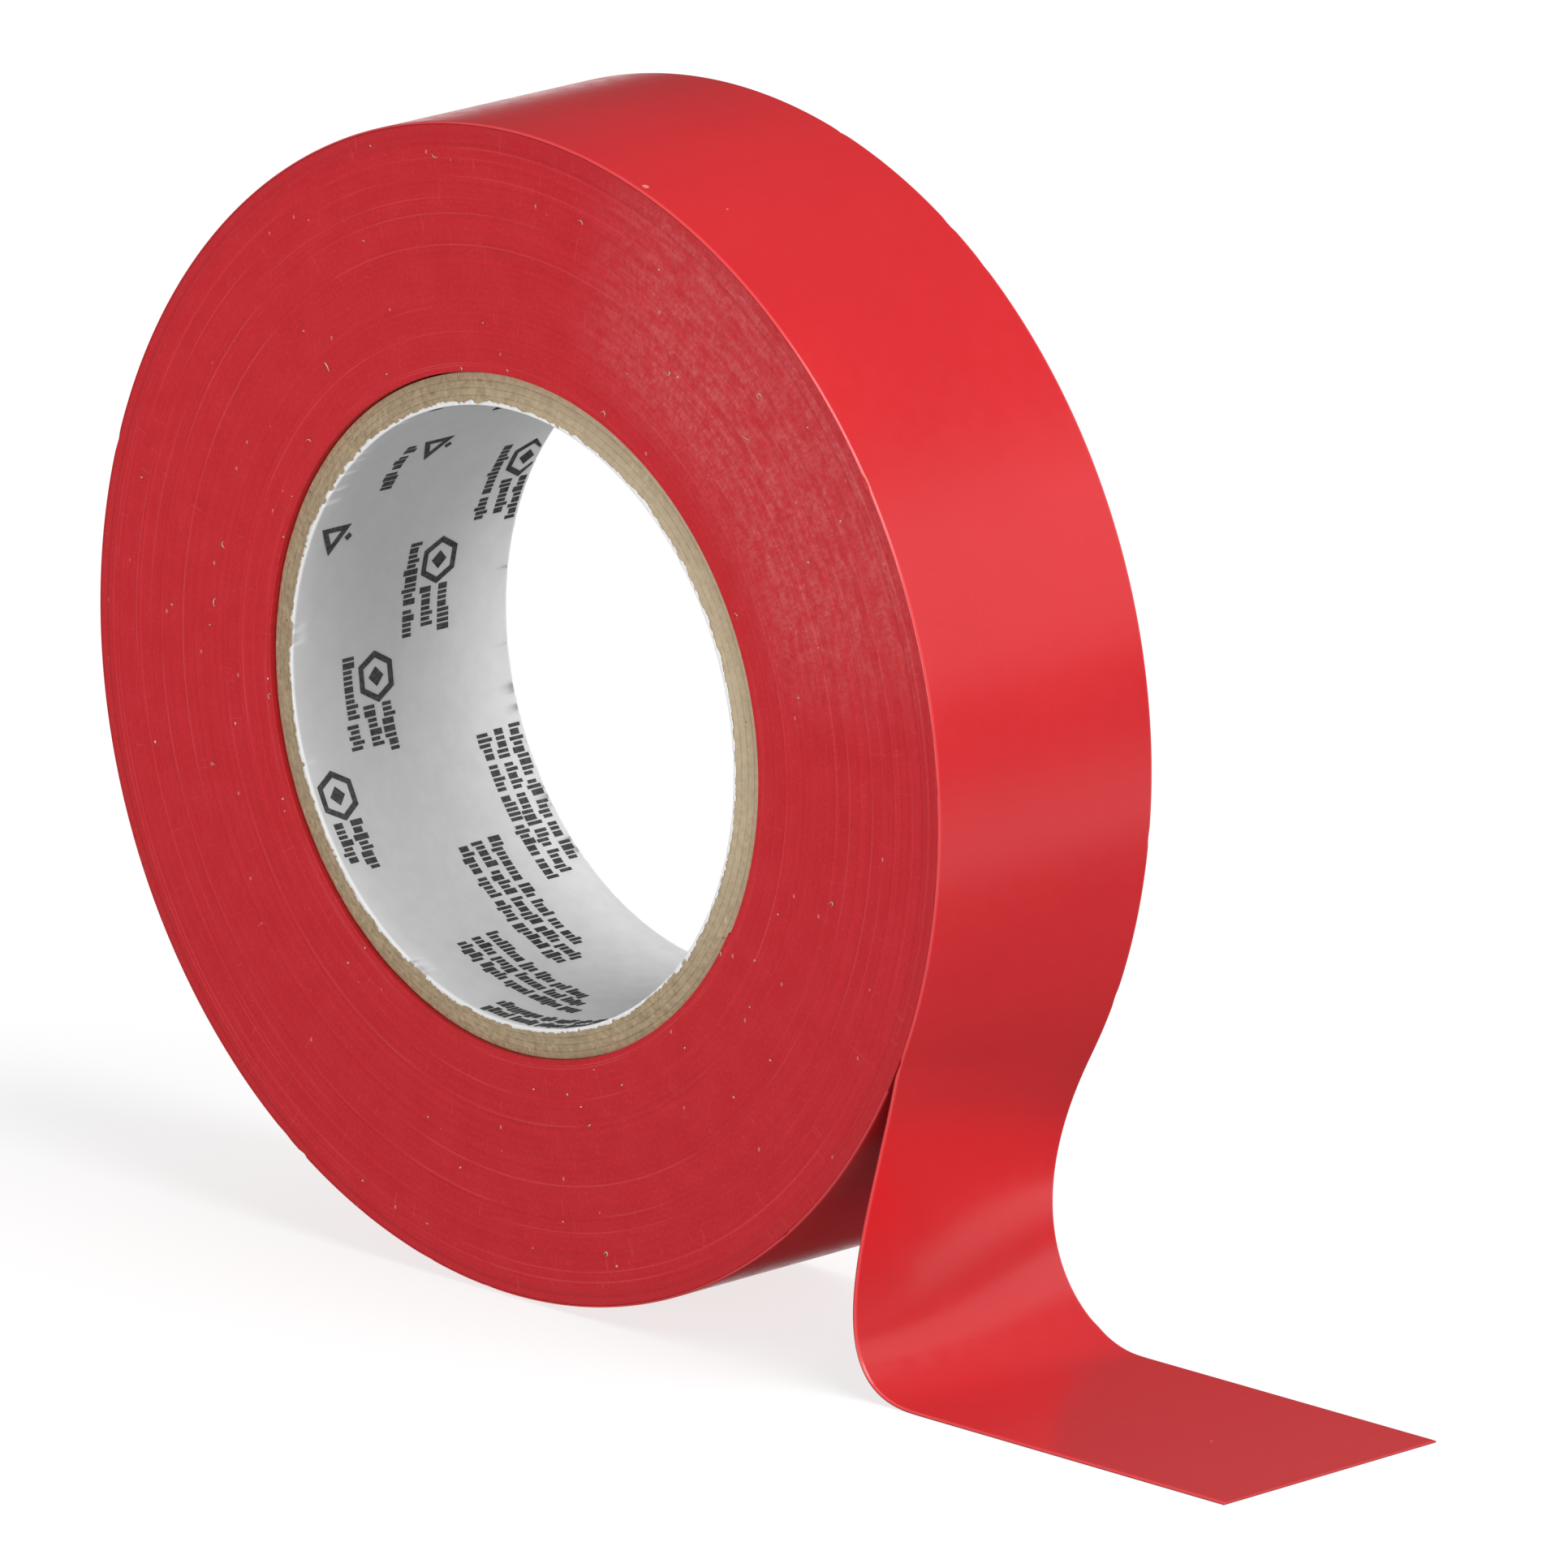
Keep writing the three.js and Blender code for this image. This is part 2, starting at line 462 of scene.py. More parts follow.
def painted_sheen_patch(n, turn, radius, cosine, sine):
    """Where a painted highlight lies: a cloudy, streaked haze on the upper right of the roll's near face,
    standing in for light reflected off its fine grooves.
    """
    direction = (cosine, sine)
    toward = n.toward(direction, PAINTED_SHEEN_WAY)
    near_side = n.math("LESS_THAN", n.split(n.place())[1], 0)
    inner = n.ramp(radius, 22.5 * MM, 28 * MM)
    outer = n.ramp(radius, 37.3 * MM, 38.3 * MM, 1, 0.5)
    patch = n.times(near_side, n.ramp(toward, 0.79, 0.95), inner, outer)
    streaks = n.round_noise(n.times(radius, 1500), direction, 26, detail=3, rough=0.6)
    cloud = n.round_noise(n.times(radius, 2300), direction, 120, detail=4, rough=0.7)
    rings = n.ramp(random_of(n, turn, 5), 0, 1, 0.6, 1)
    return n.times(patch, rings, n.ramp(streaks, 0.34, 0.62, 0.35, 1), n.ramp(cloud, 0.3, 0.70, 0.2, 1))


def side_tones(n, place, turn, height, mottle):
    """The red of the slit edges: a tone for each turn, clouds, painted shade towards the bottom and a fine
    grain with painted glints.
    """
    tone = SIDE_COLORS
    color = n.mix(random_of(n, turn, 1), tone["dark_turn"], tone["light_turn"])
    color = n.mix(n.ramp(mottle, 0.35, 0.7, 0, 0.4), color, tone["cloud"])
    # Painted shade: the face is darker towards the bottom.
    color = n.mix(n.ramp(height, 8 * MM, -30 * MM, 0, 0.14), color, tone["painted_low_shade"])
    fine = n.noise(place, scale=4200, detail=3, rough=0.7)
    color = n.mix(n.ramp(fine, 0.32, 0.66, 0.24, 0), color, tone["pit"])
    return n.mix(n.ramp(fine, 0.5, 0.72, 0, 0.20), color, tone["glint"])


def turn_lines(n, color, turn, radius, cosine, sine, mottle):
    """Adds thin bright lines along a few turns, painted highlights where a proud turn's edge would catch
    the light, which break off in places, and a dull outer rim.
    """
    share = 0.11
    spot = n.vector(n.times(cosine, 2.2), n.times(sine, 2.2), n.times(turn, 0.3))
    kept = n.ramp(n.noise(spot, scale=1.0, detail=2), 0.42, 0.6)
    bright = n.times(n.math("GREATER_THAN", random_of(n, turn, 2), 1 - share), kept)
    thin = n.ramp(n.math("FRACT", turn), 0.35, 0.60, 0.24, 0)
    # Painted highlight: bright lines where a proud turn's edge would catch the light.
    color = n.mix(n.times(bright, thin), color, SIDE_COLORS["line"])
    dull = n.times(n.ramp(radius, 36.9 * MM, 37.3 * MM), n.ramp(mottle, 0.3, 0.6, 0.3, 1))
    return n.mix(n.times(dull, 0.18), color, SIDE_COLORS["dull"])


def side_dirt(n, color, place, radius, cosine, sine):
    """Adds short radial scratches, dust, crumbs and dark specks to the slit edges."""
    tone = SIDE_COLORS
    spokes = n.round_noise(n.times(radius, 520), (cosine, sine), 190, detail=1)
    color = n.mix(n.times(n.ramp(spokes, 0.70, 0.78), 0.13), color, tone["scratch"])
    dust = specks(n, n.scale(place, (1, 1, 0.6)), scale=900, size=0.18, share=0.24)
    crumb = specks(n, n.scale(place, (1, 1, 0.45)), scale=190, size=0.10, share=0.035)
    color = n.mix(n.times(dust, 0.32), color, tone["dust"])
    color = n.mix(n.times(crumb, 0.75), color, tone["crumb"])
    dark = specks(n, n.scale(place, (0.8, 1, 1)), scale=250, size=0.13, share=0.02)
    return n.mix(n.times(dark, 0.5), color, tone["speck"])


def tape_side_material():
    """The slit edges of the turns: a tone for each turn, dust, scratches and a patch of painted highlight.
    """
    n = material("tape_side")
    place = n.place()
    radius, cosine, sine = n.polar()
    turn = turn_number(n, radius, cosine, sine)
    mottle = n.noise(place, scale=420, detail=4, rough=0.6)
    painted_sheen = painted_sheen_patch(n, turn, radius, cosine, sine)

    color = side_tones(n, place, turn, n.times(radius, sine), mottle)
    color = turn_lines(n, color, turn, radius, cosine, sine, mottle)
    # Painted highlight: a whitish, streaked haze on the upper right of the face.
    color = n.mix(n.times(painted_sheen, 0.34), color, SIDE_COLORS["painted_sheen"])
    color = side_dirt(n, color, place, radius, cosine, sine)

    roughness = n.sum(n.ramp(mottle, 0.3, 0.7, 0.38, 0.48), n.times(painted_sheen, -0.06))
    from_middle = n.math("ABSOLUTE", n.math("SUBTRACT", n.math("FRACT", turn), 0.5))
    edges = n.bump(from_middle, 0.02 * MM, strength=-0.35)
    grain = n.bump(mottle, 0.02 * MM, strength=0.5, under=edges)
    return n.finish(color, roughness, grain, Specular_IOR_Level=0.45)


def adhesive_material():
    """The tacky side of the tape: darker, with soft mottling where it has been pulled off."""
    n = material("tape_adhesive")
    pulled = n.noise(n.scale(n.place(), (1, 0.35, 1)), scale=520, detail=4, rough=0.6)
    color = n.mix(n.ramp(pulled, 0.35, 0.7), ADHESIVE_COLORS["dark"], ADHESIVE_COLORS["light"])
    roughness = n.ramp(pulled, 0.3, 0.7, 0.22, 0.5)
    return n.finish(color, roughness, n.bump(pulled, 0.02 * MM, strength=0.7))


def chipboard_material():
    """Grey-brown board: matted fibres, pale and dark flecks, and a darker line at each ply's glue.

    It is painted lighter on the upper right, as if lit from that side."""
    n = material("core_chipboard")
    tone = BOARD_COLORS
    place = n.place()
    radius, cosine, sine = n.polar()
    pulp = n.noise(place, scale=2300, detail=5, rough=0.7)
    fibre = n.round_noise(n.times(radius, 5200), (cosine, sine), 40, detail=4, rough=0.6)
    clouds = n.noise(place, scale=260, detail=2)
    color = n.mix(n.ramp(pulp, 0.32, 0.68), tone["dark_pulp"], tone["light_pulp"])
    color = n.mix(n.ramp(fibre, 0.38, 0.66, 0, 0.45), color, tone["light_fibre"])
    color = n.mix(n.ramp(fibre, 0.40, 0.30, 0, 0.22), color, tone["dark_fibre"])
    color = n.mix(n.ramp(clouds, 0.35, 0.7, 0, 0.35), color, tone["cloud"])
    # Painted light: the board is lighter towards the upper right.
    painted_light = n.ramp(n.toward((cosine, sine), PAINTED_LIGHT_WAY), 0.1, 1.0, 0, 0.42)
    color = n.mix(painted_light, color, tone["painted_light"])

    pale = specks(n, n.scale(place, (1, 1, 0.5)), scale=2400, size=0.30, share=0.10)
    dark = specks(n, n.scale(place, (0.5, 1, 1)), scale=1900, size=0.34, share=0.05)
    color = n.mix(n.times(pale, 0.55), color, tone["pale_fleck"])
    color = n.mix(n.times(dark, n.ramp(pulp, 0.42, 0.6), 0.7), color, tone["dark_fleck"])
    ply = n.math("FRACT", n.math("DIVIDE", n.math("SUBTRACT", radius, PLY_FROM), PLY))
    seam = n.math("MAXIMUM", n.ramp(ply, 0.07, 0.0), n.ramp(ply, 0.93, 1.0))
    patches = n.noise(n.vector(n.times(cosine, 5), n.times(sine, 5), 0), scale=1.0, detail=3)
    color = n.mix(n.times(seam, n.ramp(patches, 0.4, 0.62), 0.28), color, tone["glue"])
    return n.finish(color, 0.92, n.bump(pulp, 0.09 * MM, strength=0.8), Specular_IOR_Level=0.25)


def paper_material():
    """White uncoated paper with a faint mottle and a few grey fibres, whitest where it is torn.

    It is painted greyer round the top of the bore and towards the near rim, as shade, and whiter low in the
    bore and towards the far rim, as light."""
    n = material("liner_paper")
    tone = PAPER_COLORS
    place = n.place()
    _, cosine, sine = n.polar()
    depth = n.split(place)[1]
    mottle = n.noise(place, scale=700, detail=4, rough=0.6)
    # Painted light and shade: greyer round the top of the bore and towards the near rim, whiter low down
    # and towards the far rim.
    painted_lit = n.sum(n.times(sine, -0.98), n.sum(n.times(cosine, 0.17), n.times(depth, 80)))
    color = n.mix(n.ramp(painted_lit, -0.75, 1.2), tone["grey"], tone["painted_lit"])
    color = n.mix(n.ramp(mottle, 0.3, 0.7, 0.12, 0), color, tone["mottle"])
    torn = n.ramp(n.math("ABSOLUTE", depth), HALF_WIDTH - 0.2 * MM, HALF_WIDTH)
    color = n.mix(torn, color, tone["torn"])
    fleck = specks(n, n.scale(place, (1, 0.4, 1)), scale=500, size=0.14, share=0.03)
    color = n.mix(n.times(fleck, 0.35), color, tone["fibre"])
    return n.finish(color, 0.7, n.bump(mottle, 0.03 * MM, strength=0.5), Specular_IOR_Level=0.35)


def ink_material():
    """Dark grey ink, thinner where the paper's grain took less of it."""
    n = material("liner_ink")
    paler = n.noise(n.place(), scale=3200, detail=3, rough=0.7)
    return n.finish(n.mix(n.ramp(paler, 0.35, 0.7), INK_COLORS["full"], INK_COLORS["thin"]), 0.6)


def crumb_material():
    """Pale grey-tan paper fibre."""
    n = material("paper_crumbs")
    shade = n.noise(n.place(), scale=1800, detail=2)
    return n.finish(n.mix(n.ramp(shade, 0.3, 0.7), CRUMB_COLORS["dark"], CRUMB_COLORS["light"]), 0.9)


# ---------------------------------------------------------------- the wound turns


def wander(rng):
    """How far each turn of the strip sits off line across its width, as a function of turns wound.

    Most turns are a hundredth of a millimetre off, and a few stand proud of the rest."""
    proud_turns = 10
    base = rng.normal(0, 0.010 * MM, TURNS + 2)
    proud = rng.choice(np.arange(4, TURNS - 2), proud_turns, replace=False)
    base[proud] += rng.uniform(0.02, 0.045, proud_turns) * MM

    def offset(turns):
        whole = int(turns)
        share = turns - whole
        share = share * share * (3 - 2 * share)
        drift = noise.noise(Vector((turns * 2.3, 0.5, SEED))) * 0.012 * MM
        return base[whole] * (1 - share) + base[whole + 1] * share + drift

    return offset


def wound_turns(finish):
    """Both slit faces of the wound strip as one spiral ridge each, closed inside and outside.

    Each column of points crosses one turn, from the groove before it to the middle of its edge. The
    next turn's column, a whole round further on, holds the groove after it, so only the outermost
    turn's columns have a point more."""
    steps = 160
    rows = 2
    columns = (TURNS - 1) * steps + 1
    last = columns - 1
    offset = wander(np.random.default_rng(SEED))
    vertices = []
    index = {}

    def add_column(side, i, extra):
        for k in range(rows + extra):
            turns = i / steps
            radius = CORE_RADIUS + PITCH * (turns + k / rows)
            angle = -PEEL_ANGLE - math.tau * turns
            inset = TURN_GROOVE if k % rows == 0 else 0
            y = side * (HALF_WIDTH - inset + offset(turns + k / rows))
            index[side, i, k] = len(vertices)
            vertices.append(around(radius, angle, y))

    def at(side, i, k):
        return index[side, i, k] if (side, i, k) in index else index[side, i + steps, k - rows]

    for side in (-1, 1):
        for i in range(columns):
            add_column(side, i, 1 if i >= last - steps else 0)

    faces = []
    for i in range(last):
        for k in range(rows):
            for side in (-1, 1):
                quad = [at(side, i, k), at(side, i + 1, k), at(side, i + 1, k + 1), at(side, i, k + 1)]
                faces.append(quad if side < 0 else quad[::-1])
    first_wall = len(faces)
    for i in range(steps):
        faces.append((at(-1, i + 1, 0), at(-1, i, 0), at(1, i, 0), at(1, i + 1, 0)))
        j = last - steps + i
        faces.append((at(-1, j, rows), at(-1, j + 1, rows), at(1, j + 1, rows), at(1, j, rows)))
    for k in range(rows):
        faces.append((at(-1, 0, k), at(-1, 0, k + 1), at(1, 0, k + 1), at(1, 0, k)))
        faces.append((at(-1, last, k + 1), at(-1, last, k), at(1, last, k), at(1, last, k + 1)))
    turns = new_object("wound_tape_turns", vertices, faces, finish, range(first_wall, len(faces)))
    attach(turns, "roll")
    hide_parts("wound_tape")


# ---------------------------------------------------------------- the outer turn and the free end


def crease(along, share):
    """How far the crease lifts the strip, at some distances along it. It runs out before the front edge."""
    bell = np.exp(-(((along - CREASE["at"]) / CREASE["width"]) ** 2))
    return CREASE["height"] * bell * min(1.0, max(0.0, share * 1.6 - 0.4))


def rolled_path(peel):
    """The strip on the roll, down to the angle where it peels off: distances along it, x and z."""
    samples = 1400
    along = np.linspace(STRIP_START - 2 * MM, ROLL_RADIUS * peel, samples)
    radius = ROLL_RADIUS - PITCH * (1 + (PEEL_ANGLE - along / ROLL_RADIUS) / math.tau)
    x = radius * np.cos(-along / ROLL_RADIUS)
    z = AXIS_HEIGHT + radius * np.sin(-along / ROLL_RADIUS)
    return along, x, z


def peeled_curve(start, edge):
    """The curve on which the strip comes down from the roll to the ground, as rows of x and z."""
    samples = 300
    lean = math.radians(edge["lean"])
    foot = np.array([edge["foot"], 0.0])
    first = start - edge["start"] * np.array([math.sin(lean), math.cos(lean)])
    second = foot - np.array([edge["end"], 0.0])
    t = np.linspace(0, 1, samples)[1:]
    return (np.outer((1 - t) ** 3, start) + np.outer(3 * (1 - t) ** 2 * t, first)
            + np.outer(3 * (1 - t) * t**2, second) + np.outer(t**3, foot))


def evened(values):
    """Values at even steps along the strip, evened out over the rounding distance."""
    reach = 24
    kernel = np.exp(-0.5 * (np.arange(-reach, reach + 1) * ROW_STEP / ROUNDING) ** 2)
    return np.convolve(values, kernel / kernel.sum(), mode="same")


def strip_row(share):
    """The inner side of the strip along one line, from share 0 at its front edge to 1 at its back.

    Returns distances along the strip, and x and z there. The line follows the spiral of the roll,
    leaves it at the peel line, runs down a curve and lies flat."""
    edge = {key: FRONT_EDGE[key] * (1 - share) + BACK_EDGE[key] * share for key in FRONT_EDGE}
    peel = math.radians(edge["peel"])
    rolled, x, z = rolled_path(peel)
    curve = peeled_curve(np.array([x[-1], z[-1]]), edge)
    x = np.concatenate([x, curve[:, 0], [TIP_X]])
    z = np.concatenate([z, curve[:, 1], [0.0]])

    along = np.concatenate([[0], np.cumsum(np.hypot(np.diff(x), np.diff(z)))])
    along = along - along[len(rolled) - 1] + ROLL_RADIUS * peel
    flat_from = along[-2]
    along[-1] = STRIP_END
    even = np.arange(along[0], STRIP_END + ROW_STEP / 2, ROW_STEP)
    x, z = np.interp(even, along, x), np.interp(even, along, z)

    # The hidden start and the flat end keep their exact course.
    round_off = (even > even[0] + 3 * MM) & (even < flat_from + 4 * MM)
    x = np.where(round_off, evened(x), x)
    z = np.where(round_off, evened(z), z)
    return even, x, z + crease(even, share)


ROW_SHARES = np.linspace(0, 1, 21)
STRIP_ROWS = [strip_row(share) for share in ROW_SHARES]


def strip_points(along, shares):
    """Points and outward normals of the strip's inner side, as arrays along by across by 3."""

    def down_rows(distances, which):
        return np.array([np.interp(distances, row[0], row[which]) for row in STRIP_ROWS])

    def across(values):
        return np.array([np.interp(shares, ROW_SHARES, column) for column in values.T])

    ahead = along + 0.05 * MM
    x, z = down_rows(along, 1), down_rows(along, 2)
    run_x, run_z = down_rows(ahead, 1) - x, down_rows(ahead, 2) - z
    run_x[:, -1], run_z[:, -1] = run_x[:, -2], run_z[:, -2]

    x, z, run_x, run_z = across(x), across(z), across(run_x), across(run_z)
    y = np.broadcast_to((2 * np.asarray(shares) - 1) * HALF_WIDTH, x.shape)
    points = np.stack([x, y, z], axis=-1)
    run = np.stack([run_x, np.zeros_like(run_x), run_z], axis=-1)
    normals = np.cross(np.gradient(points, axis=1), run)
    inward = np.stack([run_z, 0 * run_z, -run_x], axis=-1)
    normals *= -np.sign(np.sum(normals * inward, axis=-1))[..., None]
    return points, normals / np.linalg.norm(normals, axis=-1, keepdims=True)


def cross_section(low, high, soft):
    """A layer's outline across the strip: shares of the width and heights, outer side first.

    The outer side rounds off over the last soft metres before each edge."""
    deepest_drop = 0.75
    middle_points = 25
    near_edge = np.array([0.0, 0.06, 0.16, 0.32, 0.55, 0.8, 1.0]) * soft / (2 * HALF_WIDTH)
    middle = np.linspace(near_edge[-1], 1 - near_edge[-1], middle_points)[1:-1]
    shares = np.concatenate([near_edge, middle, 1 - near_edge[::-1]])
    edge = np.minimum(shares, 1 - shares) * 2 * HALF_WIDTH / soft
    drop = 1 - np.sqrt(np.clip(1 - (1 - np.clip(edge, 0, 1)) ** 2, 0, 1))
    top = high - (high - low) * deepest_drop * drop
    return np.concatenate([shares, shares[::-1]]), np.concatenate([top, np.full(len(shares), low)])


def nicks(along):
    """How far small nicks cut into the strip's front and back edges at some distances along it."""
    nicks_per_edge = 12
    rng = np.random.default_rng(SEED + 1)
    cuts = np.zeros((2, len(along)))
    for side in (0, 1):
        for _ in range(nicks_per_edge):
            place = rng.uniform(STRIP_START, 30 * MM)
            depth = rng.uniform(0.03, 0.14) * MM
            width = rng.uniform(0.15, 0.5) * MM
            cuts[side] += depth * np.exp(-(((along - place) / width) ** 2))
    return cuts


def strip_layer(name, start, end, low, high, soft, finish):
    """One layer of the strip between two distances along it, as a closed thin solid."""
    nick_reach = 0.02
    count = max(8, int((end - start) / SECTION_STEP))
    along = np.linspace(start, end, count)
    shares, heights = cross_section(low, high, soft)
    points, normals = strip_points(along, shares)
    rings = points + normals * heights[None, :, None]
    front, back = nicks(along)
    rings[:, :, 1] += np.outer(front, np.clip(1 - shares / nick_reach, 0, 1))
    rings[:, :, 1] -= np.outer(back, np.clip(1 - (1 - shares) / nick_reach, 0, 1))
    vertices, faces, caps = loft(rings, closed=False)
    return new_object(name, vertices, faces, finish, caps)


def bend_over(piece, first, second, joint, before, after):
    """Bakes the piece's placement into its mesh. It does not bend the piece or attach it to a body."""
    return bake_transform(piece)


# For each stretch of the free end: the two bodies and the joint between them, and where a bend over that
# joint would start and end, from the joint's axis.
BENDS = {
    "tail_web": ("roll", "tail_web", "peel", PEEL_WAY * -1 * MM, PEEL_WAY * 3.5 * MM),
    "tail_foot": ("tail_web", "tail_foot", "knee_flex",
                  Vector((-1, 0, 7.5)) * MM, Vector((6.5, 0, -3)) * MM),
    "tail_tip": ("tail_foot", "tail_tip", "tip_curl",
                 Vector((-0.5, 0, 0)) * MM, Vector((6, 0, 0)) * MM),
}


def tape_strip(film, adhesive):
    """The outer turn on the roll and the free end in three stretches, each a film over its adhesive."""
    stretches = [
        ("outer_turn", STRIP_START, ROLL_SPLIT),
        ("tail_web", ROLL_SPLIT, WEB_SPLIT),
        ("tail_foot", WEB_SPLIT, FOOT_SPLIT),
        ("tail_tip", FOOT_SPLIT, STRIP_END),
    ]
    layers = [
        ("film", FILM_LOW, PITCH, 0.22 * MM, film, "tape_film"),
        ("adhesive", 0.0, ADHESIVE, 0.05 * MM, adhesive, "tape_adhesive"),
    ]
    for stretch, start, end in stretches:
        for layer, low, high, soft, finish, slot in layers:
            piece = strip_layer(f"{stretch}_{layer}_sheet", start, end, low, high, soft, finish)
            if stretch in BENDS:
                bend_over(piece, *BENDS[stretch])
            else:
                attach(piece, "roll")
            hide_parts(f"{stretch}_{layer}")


# ---------------------------------------------------------------- the core and its liner


def core_ply(number, finish):
    """One chipboard ply: a tube with rough cut ends and slightly broken edges.

    The ends of the core lean back a little towards its rim, so each ply is sunk more than the last."""
    steps = 420
    broken = 0.05 * MM
    edge_drop = 0.012 * MM
    gap_inside, both_gaps = 0.004 * MM, 0.006 * MM
    inner = PLY_FROM + (number - 1) * PLY + gap_inside
    outer = inner + PLY - both_gaps
    radii = [inner, *np.linspace(inner + broken, outer - broken, 5), outer]

    def end_point(radius, angle, side):
        x, _, z = around(radius, angle, 0)
        fuzz = noise.noise(Vector((x, side, z)) * 1900) * 0.025 * MM
        lumps = noise.noise(Vector((x, side, z)) * 420) * 0.03 * MM
        sunk = CORE_CROWN * (radius - PLY_FROM) / (CORE_RADIUS - PLY_FROM)
        if radius in (inner, outer):
            sunk += edge_drop
        return around(radius, angle, side * (HALF_WIDTH - sunk + fuzz + lumps))

    rings = []
    for step in range(steps):
        angle = math.tau * step / steps
        near = [end_point(radius, angle, -1) for radius in radii]
        far = [end_point(radius, angle, 1) for radius in radii[::-1]]
        rings.append(near + far)
    vertices, faces, _ = loft(rings, closed=True)
    piece = new_object(f"core_ply_{number}_board", vertices, faces, finish)
    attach(piece, "roll")
    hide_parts(f"core_ply_{number}")


def torn_lip(angle, side):
    """How far the liner's torn edge spreads over the core's end and stands off it, at an angle.

    In some places it is torn short instead, and leaves the corner of the board bare. short and proud
    are in millimetres."""
    seed = 3.1 * side + SEED
    wide = ring_noise(angle, 5, seed) * 0.5 + 0.5
    ragged = ring_noise(angle, 26, seed + 5) * 0.5 + ring_noise(angle, 85, seed + 9) * 0.45
    spread = max(0.0, 0.02 + 0.20 * wide + 0.28 * ragged) * MM
    short = max(0.0, ring_noise(angle, 8, seed + 21) * 0.8 + ring_noise(angle, 45, seed + 25) * 0.7 - 0.30)
    proud = 0.05 + 0.09 * max(0.0, ring_noise(angle, 60, seed + 13)) - min(0.40, short)
    return spread * (1 if proud > 0 else 0), proud * MM


def lip_points(angle, side):
    """The outline of the liner's torn rim at an angle, from the bore to the board."""
    spread, proud = torn_lip(angle, side)
    board = BORE_RADIUS + LINER
    outline = [
        (BORE_RADIUS + 0.02 * MM, HALF_WIDTH + proud * 0.7),
        (BORE_RADIUS + LINER * 0.6, HALF_WIDTH + proud),
        (board + spread, HALF_WIDTH + proud * 0.8),
        (board + spread, HALF_WIDTH + min(0.02 * MM, proud * 0.6)),
        (board, HALF_WIDTH + min(0.01 * MM, proud * 0.6)),
    ]
    return [around(radius, angle, side * y) for radius, y in outline]


def liner(finish):
    """The paper liner: a thin tube whose torn rims spill over the ends of the core."""
    steps = 1100
    points_across = 14
    widths = np.linspace(-1, 1, points_across) * (HALF_WIDTH - 0.02 * MM)
    rings = []
    for step in range(steps):
        angle = math.tau * step / steps
        buckle = ring_noise(angle, 3, 40) * 0.02 * MM
        bore_side = [around(BORE_RADIUS + buckle, angle, y) for y in widths]
        board_side = [around(BORE_RADIUS + LINER - 0.01 * MM, angle, y) for y in widths[::-1]]
        ring = bore_side + lip_points(angle, 1) + board_side + lip_points(angle, -1)[::-1]
        rings.append(ring[::-1])
    vertices, faces, _ = loft(rings, closed=True)
    piece = new_object("paper_liner_sheet", vertices, faces, finish)
    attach(piece, "roll")
    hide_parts("paper_liner")


class Print:
    """Printed marks on the liner, as thin slabs on the bore. Places are unrolled: arc and width."""

    rim = HALF_WIDTH - 0.25 * MM
    depths = (0.012 * MM, 0.035 * MM)
    slab = ((0, 3, 2, 1), (4, 5, 6, 7), (0, 1, 5, 4), (1, 2, 6, 5), (2, 3, 7, 6), (3, 0, 4, 7))

    def __init__(self):
        self.vertices = []
        self.faces = []

    def patch(self, corners):
        """A slab over four corners given as (arc, y), counter-clockwise seen from the axis.

        The rims of the liner cut it off."""
        corners = [(arc, min(max(y, -self.rim), self.rim)) for arc, y in corners]
        if all(y == corners[0][1] for _, y in corners):
            return
        first = len(self.vertices)
        for depth in self.depths:
            for arc, y in corners:
                self.vertices.append(around(BORE_RADIUS - depth, arc / BORE_RADIUS, y))
        for quad in self.slab:
            self.faces.append([first + corner for corner in quad])

    def bar(self, arc, y, long, wide):
        self.patch([(arc, y), (arc, y + wide), (arc + long, y + wide), (arc + long, y)])

    def line(self, rng, arc, y, words):
        """A line of words, each a row of plain bars. words gives how many bars each one has.

        A bar's foot, top, width and gap are in millimetres."""
        for count in words:
            for _ in range(count):
                low, high = rng.choice([0.0, 0.0, 0.0, -0.22]), rng.choice([0.74, 0.74, 1.0])
                wide = rng.choice([0.24, 0.24, 0.40])
                self.bar(arc, y + low * MM, wide * MM, (high - low) * MM)
                arc += (wide + 0.11) * MM
            arc += 0.25 * MM

    def outline(self, arc, y, radius, line, sides):
        """A regular polygon drawn as a line of the given thickness."""
        turn = math.tau / sides
        for side in range(sides):
            ends = (side * turn, (side + 1) * turn)
            outer = [(arc + radius * math.cos(a), y + radius * math.sin(a)) for a in ends]
            inside = radius - line
            inner = [(arc + inside * math.cos(a), y + inside * math.sin(a)) for a in ends]
            self.patch([inner[0], inner[1], outer[1], outer[0]])


# The print repeats along a slanting line: each repeat is this much further round and nearer.
PRINT_STEP = (math.radians(19.65), -5.35 * MM)


